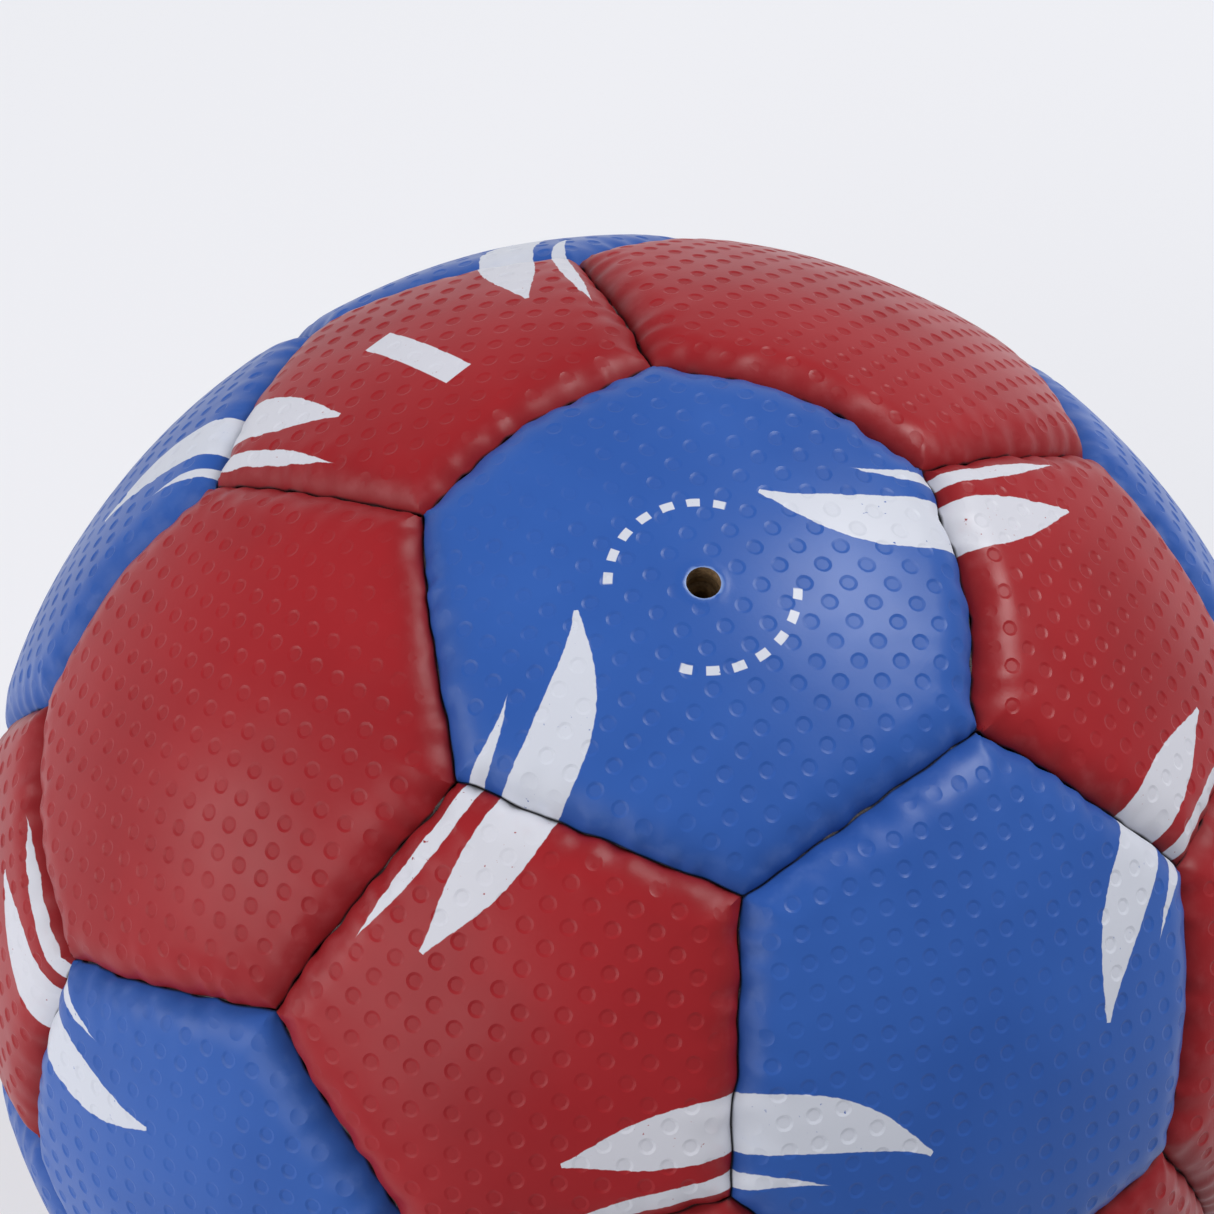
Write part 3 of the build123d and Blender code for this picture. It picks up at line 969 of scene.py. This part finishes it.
def new_material(name):
    material = bpy.data.materials.new(name)
    material.use_nodes = True
    return material, Nodes(material.node_tree), material.node_tree.nodes["Principled BSDF"]


def inside(nodes, excess, edge=PRINT_EDGE):
    """The mask of a printed mark, from how far a point lies past its outline."""
    return nodes.smooth(excess, -edge, edge, 1.0, 0.0)


def off_axis(nodes, x, y):
    """Distance from the axis of the needle hole."""
    return nodes.root(nodes.plus(nodes.times(x, x), nodes.times(y, y)))


def sweeping_strokes(nodes, place):
    """White strokes that sweep round each red hexagon, three thick and three fine ones, as a mask."""
    way = nodes.vector("NORMALIZE", place)
    a, b, c = [nodes.math("ABSOLUTE", nodes.dot(way, tuple(axis))) for axis in cube_axes]
    nearness = nodes.over(nodes.plus(a, b, c), math.sqrt(3))
    angle = nodes.math("ARCCOSINE", nodes.math("MINIMUM", nearness, 1.0))
    across = nodes.over(nodes.minus(b, c), math.sqrt(2))
    ahead = nodes.over(nodes.minus(nodes.times(a, 2), nodes.plus(b, c)), math.sqrt(6))
    turn = nodes.times(nodes.minus(nodes.math("ARCTAN2", across, ahead), STROKE_PHASE), STROKES_ROUND)
    wander = nodes.times(nodes.minus(nodes.noise(place, PRINT_WANDER_SCALE), 0.5), PRINT_WANDER)
    path = nodes.plus(STROKE_REACH, nodes.times(nodes.math("SINE", turn), STROKE_SWEEP))
    offset = nodes.plus(nodes.times(nodes.minus(angle, path), CROWN_RADIUS), wander)

    thickness = nodes.smooth(nodes.math("COSINE", turn), STROKE_TIP, 1.0)
    half_width = nodes.times(thickness, STROKE_HALF_WIDTH)
    thick = inside(nodes, nodes.minus(nodes.math("ABSOLUTE", offset), half_width))
    begun = nodes.math("GREATER_THAN", half_width, STROKE_LEAST_HALF_WIDTH)

    fine_turn = nodes.math("COSINE", nodes.plus(turn, FINE_STROKE_LEAD))
    widest = FINE_STROKE_HALF_WIDTH
    fine_half_width = nodes.smooth(fine_turn, FINE_STROKE_TIP, 1.0, -FINE_STROKE_TIP * widest, widest)
    fine_offset = nodes.math("ABSOLUTE", nodes.plus(offset, FINE_STROKE_OFFSET))
    fine = inside(nodes, nodes.minus(fine_offset, fine_half_width))
    return nodes.at_least(nodes.times(thick, begun), fine)


def plain_bar(nodes, place):
    """The plain white bar with slanted ends on one pentagon, as a mask."""
    axis = pentagon_axes[1]
    to_valve = unit(valve_axis - axis * (valve_axis @ axis))
    side = np.cross(axis, to_valve)
    x = nodes.minus(nodes.dot(place, tuple(to_valve)), BAR_PLACE[0])
    y = nodes.minus(nodes.dot(place, tuple(side)), BAR_PLACE[1])
    slanted = nodes.math("ABSOLUTE", nodes.plus(x, nodes.times(y, BAR_SLANT)))
    tilted = nodes.math("ABSOLUTE", nodes.minus(y, nodes.times(x, BAR_TILT)))
    long_way = inside(nodes, nodes.minus(slanted, BAR_LENGTH / 2))
    short_way = inside(nodes, nodes.minus(tilted, BAR_WIDTH / 2))
    front = nodes.math("GREATER_THAN", nodes.dot(place, tuple(axis)), BAR_LEAST_HEIGHT)
    return nodes.times(long_way, short_way, front)


def dash_ring(nodes, place):
    """Two arcs of plain dashes round the needle hole, as a mask."""
    x, y, z = nodes.split(place)
    off_ring = nodes.math("ABSOLUTE", nodes.minus(off_axis(nodes, x, y), DASH_RING_RADIUS))
    on_ring = inside(nodes, nodes.minus(off_ring, DASH_HALF_WIDTH), DASH_EDGE)
    turn = nodes.minus(nodes.math("ARCTAN2", y, x), DASH_TURN)
    dash = nodes.smooth(nodes.math("COSINE", nodes.times(turn, DASH_COUNT)), -DASH_END, DASH_END)
    arcs = nodes.smooth(nodes.math("ABSOLUTE", nodes.math("COSINE", turn)), *DASH_ARCS)
    front = nodes.math("GREATER_THAN", z, 0)
    return nodes.times(on_ring, dash, arcs, front)


def hole_rim_highlight(nodes, place):
    """The pale rim of the needle hole, uneven in width, as a mask: a painted highlight on its raised lip."""
    x, y, z = nodes.split(place)
    from_hole = nodes.minus(off_axis(nodes, x, y), NEEDLE_HOLE_RADIUS)
    uneven = nodes.smooth(nodes.noise(place, RIM_SCALE), *NOISE_MIDDLE, *RIM_RANGE)
    near = nodes.smooth(from_hole, 0.0, nodes.times(uneven, RIM_WIDTH), RIM_PALENESS, 0.0)
    return nodes.times(near, nodes.math("GREATER_THAN", z, 0))


def cover_finish(name, colour, deep, worn, mark):
    """Satin grained cover with white print: tone changes, painted shade in the dimples and along the seams, a
    painted dark line in the seam creases, rubbed edges, a painted highlight round the needle hole.
    """
    material, nodes, shader = new_material(name)
    place = nodes.add("ShaderNodeTexCoord").outputs["Object"]
    seam = nodes.add("ShaderNodeAttribute", attribute_name="seam_distance").outputs["Fac"]
    dimple = nodes.add("ShaderNodeAttribute", attribute_name="dimple").outputs["Fac"]

    # Colour
    tone = nodes.smooth(nodes.noise(place, TONE_SCALE, 3.0), *NOISE_MIDDLE, 0.0, TONE_SHARE)
    base = nodes.mixed(tone, colour, deep)
    # Painted shade: the floors of the dimples are darkened towards the deep tone
    base = nodes.mixed(nodes.times(dimple, DIMPLE_PAINTED_SHADE), base, deep)
    # Painted shade that deepens the colour on the rolled edges towards each seam
    base = nodes.mixed(nodes.smooth(seam, *SEAM_PAINTED_SHADE_REACH, SEAM_PAINTED_SHADE, 0.0), base, deep)
    flaked = nodes.smooth(nodes.noise(place, FLAKE_SCALE, 3.0), *FLAKE_BAND)
    printed = nodes.times(nodes.at_least(sweeping_strokes(nodes, place), mark(nodes, place)), flaked)
    base = nodes.mixed(nodes.times(printed, PRINT_SHARE), base, PRINT_COLOUR)
    edge = nodes.times(nodes.smooth(seam, *RUBBED_START), nodes.smooth(seam, *RUBBED_END, 1.0, 0.0))
    patches = nodes.smooth(nodes.noise(place, RUBBED_SCALE, 4.0), *RUBBED_BAND)
    base = nodes.mixed(nodes.times(edge, patches, RUBBED_SHARE), base, worn)
    # Painted shade: a near-black line at the bottom of the seam crease, where the panels meet
    base = nodes.mixed(nodes.smooth(seam, *CREASE_PAINTED_SHADE_FADE, CREASE_PAINTED_SHADE_SHARE, 0.0), base, CREASE_PAINTED_SHADE_COLOUR)
    # Painted highlight: the rim of the needle hole is paled towards the worn colour
    base = nodes.mixed(hole_rim_highlight(nodes, place), base, worn)
    nodes.feed(shader.inputs["Base Color"], base)

    # Gloss and fine grain
    shader.inputs["Specular IOR Level"].default_value = COVER_SHINE
    polish = nodes.smooth(nodes.noise(place, POLISH_SCALE, 3.0), *NOISE_MIDDLE, *COVER_ROUGHNESS)
    crease = nodes.smooth(seam, *CREASE_DULL_FADE, CREASE_DULLNESS, 0.0)
    dulled = nodes.plus(nodes.times(dimple, DIMPLE_DULLNESS), crease)
    nodes.feed(shader.inputs["Roughness"], nodes.plus(polish, dulled))
    grain = nodes.noise(place, SKIN_SCALE, 3.0)
    bump = nodes.add("ShaderNodeBump", {"Strength": SKIN_BUMP, "Distance": SKIN_BUMP_DEPTH, "Height": grain})
    nodes.feed(shader.inputs["Normal"], bump.outputs[0])
    return material


def plain_finish(name, colour, other, scale, roughness, bump_depth):
    """Matt rubber, foam or cloth with a fine uneven tone."""
    material, nodes, shader = new_material(name)
    place = nodes.add("ShaderNodeTexCoord").outputs["Object"]
    grain = nodes.noise(place, scale, 4.0)
    nodes.feed(shader.inputs["Base Color"], nodes.mixed(nodes.smooth(grain, *NOISE_MIDDLE), colour, other))
    shader.inputs["Roughness"].default_value = roughness
    bump = nodes.add("ShaderNodeBump", {"Strength": INNER_BUMP, "Distance": bump_depth, "Height": grain})
    nodes.feed(shader.inputs["Normal"], bump.outputs[0])
    return material


# Camera

camera_data = bpy.data.cameras.new("camera")
camera_data.lens = CAMERA_LENS
camera_data.sensor_width = CAMERA_SENSOR
camera_data.clip_start = CAMERA_CLIP_START
camera = bpy.data.objects.new("camera", camera_data)
camera_back = CAMERA_RIGHT.cross(CAMERA_UP)
camera_rows = [(CAMERA_RIGHT[i], CAMERA_UP[i], camera_back[i], CAMERA_PLACE[i]) for i in range(3)]
camera.matrix_world = Matrix((*camera_rows, (0, 0, 0, 1)))
bpy.context.scene.collection.objects.link(camera)
bpy.context.scene.camera = camera

# Finishes

# worn is the pale colour of the rubbed edges, and also of the painted highlight round the needle hole
cover_finishes = {
    "cover_red": cover_finish(
        "red_cover",
        colour=(0.355, 0.017, 0.022, 1),
        deep=(0.256, 0.012, 0.016, 1),
        worn=(0.62, 0.22, 0.24, 1),
        mark=plain_bar,
    ),
    "cover_blue": cover_finish(
        "blue_cover",
        colour=(0.0355, 0.118, 0.44, 1),
        deep=(0.0225, 0.084, 0.348, 1),
        worn=(0.30, 0.42, 0.72, 1),
        mark=dash_ring,
    ),
}

# Inner finishes: colour, darker tone, scale of the grain per metre, roughness and depth of the grain
backing = plain_finish("backing", (0.30, 0.19, 0.09, 1), (0.14, 0.085, 0.04, 1), 2400.0, 0.95, 0.15 * MM)
rubber = plain_finish("rubber", (0.22, 0.14, 0.065, 1), (0.12, 0.075, 0.035, 1), 1800.0, 0.75, 0.1 * MM)
inner_finishes = {
    "foam": plain_finish("foam", (0.72, 0.69, 0.60, 1), (0.60, 0.57, 0.49, 1), 900.0, 0.9, 0.1 * MM),
    "lining": plain_finish("lining", (0.62, 0.57, 0.48, 1), (0.50, 0.46, 0.38, 1), 1500.0, 0.95, 0.1 * MM),
    "thread": plain_finish("thread", (0.10, 0.09, 0.09, 1), (0.04, 0.035, 0.035, 1), 3000.0, 0.8, 0.05 * MM),
    "bladder": plain_finish("bladder", (0.55, 0.36, 0.16, 1), (0.48, 0.30, 0.13, 1), 200.0, 0.6, 0.05 * MM),
    "valve_rubber": rubber,
}

# Cover

cover = cover_tree()
make_cover(cover, "valve_panel", valve_axis, HEXAGON_SIDES, "cover_blue", GRAIN_SEED, NEEDLE_HOLE_RADIUS)
plain_covers = (
    ("red_pentagon", pentagon_axes, PENTAGON_SIDES, "cover_red"),
    ("red_hexagon", red_hexagon_axes, HEXAGON_SIDES, "cover_red"),
    ("blue_hexagon", blue_hexagon_axes, HEXAGON_SIDES, "cover_blue"),
)
for series, (name, axes, sides, slot) in enumerate(plain_covers, 1):
    for number, axis in enumerate(axes, 1):
        seed = GRAIN_SEED + series * SEED_STEP + number
        make_cover(cover, f"{name}_{number:02d}", axis, sides, slot, seed)

# Foam pads and linings

padding = padding_tree()
plain_hexagon_axes = red_hexagon_axes + blue_hexagon_axes
for slot, top, floor_level, edge_roll in (
    ("foam", FOAM_TOP, FOAM_FLOOR, FOAM_ROLL),
    ("lining", LINING_TOP, LIP_LEVEL, LINING_ROLL),
):
    for node, axes, sides, hole_radius in (
        (f"pentagon_{slot}", pentagon_axes, PENTAGON_SIDES, 0.0),
        (f"hexagon_{slot}", plain_hexagon_axes, HEXAGON_SIDES, 0.0),
        (f"valve_{slot}", [valve_axis], HEXAGON_SIDES, BARREL_HOLE_RADIUS),
    ):
        make_padding(padding, node, axes, sides, top, floor_level, edge_roll, slot, hole_radius)

make_thread()

# Bladder and valve keep the shape of their CAD solids
for part in frame["record"]["subparts"]:
    if part["material_slot"] in ("bladder", "valve_rubber"):
        data = frame["nodes"][part["node"]].data
        data.materials.clear()
        data.materials.append(inner_finishes[part["material_slot"]])

# Stage


def seen_ray(nodes):
    """One where the camera looks, also by a reflection, and nought for light that falls on the ball."""
    path = nodes.add("ShaderNodeLightPath").outputs
    looks = nodes.plus(path["Is Camera Ray"], path["Is Glossy Ray"], path["Is Transmission Ray"])
    return nodes.math("MINIMUM", looks, 1.0)


bpy.ops.mesh.primitive_plane_add(size=FLOOR_SIZE, location=(0, 0, -CROWN_RADIUS))
floor = bpy.context.object
floor.name = "floor"
floor_material, floor_nodes, floor_shader = new_material("floor")
floor_shader.inputs["Base Color"].default_value = FLOOR_COLOUR
floor_shader.inputs["Roughness"].default_value = FLOOR_ROUGHNESS
seen_shader = floor_nodes.add("ShaderNodeEmission", {"Color": FLOOR_SEEN_COLOUR, "Strength": 1.0})
seen_share = floor_nodes.times(seen_ray(floor_nodes), FLOOR_GLOW)
shades = {0: seen_share, 1: floor_shader.outputs[0], 2: seen_shader.outputs[0]}
floor_mix = floor_nodes.add("ShaderNodeMixShader", shades)
floor_output = floor_material.node_tree.nodes["Material Output"]
floor_nodes.feed(floor_output.inputs["Surface"], floor_mix.outputs[0])
floor.data.materials.append(floor_material)


def soft_light(name, direction, size, power):
    """A square lamp that faces the ball."""
    data = bpy.data.lights.new(name, "AREA")
    data.size = size
    data.energy = power
    lamp = bpy.data.objects.new(name, data)
    towards = Vector(direction).normalized()
    turn = towards.to_track_quat("Z", "Y").to_matrix().to_4x4()
    lamp.matrix_world = Matrix.Translation(towards * LAMP_DISTANCE) @ turn
    bpy.context.scene.collection.objects.link(lamp)


soft_light("left_lamp", direction=(-0.93, 0.08, 0.33), size=280 * MM, power=1.1)
soft_light("front_lamp", direction=(-0.72, -0.38, 0.60), size=460 * MM, power=1.85)
soft_light("right_lamp", direction=(0.51, 0.34, 0.79), size=280 * MM, power=3.05)

world = bpy.data.worlds.new("world")
world.use_nodes = True
sky_nodes = Nodes(world.node_tree)
sky_shader = world.node_tree.nodes["Background"]
sky_shader.inputs["Color"].default_value = SKY_COLOUR
sky_height = sky_nodes.split(sky_nodes.add("ShaderNodeTexCoord").outputs["Generated"])[2]
sky_strength = sky_nodes.smooth(sky_height, *HORIZON_BAND, HORIZON_STRENGTH, SKY_STRENGTH)
sky_nodes.feed(sky_shader.inputs["Strength"], sky_strength)
bpy.context.scene.world = world
bpy.context.scene.view_settings.view_transform = "Standard"
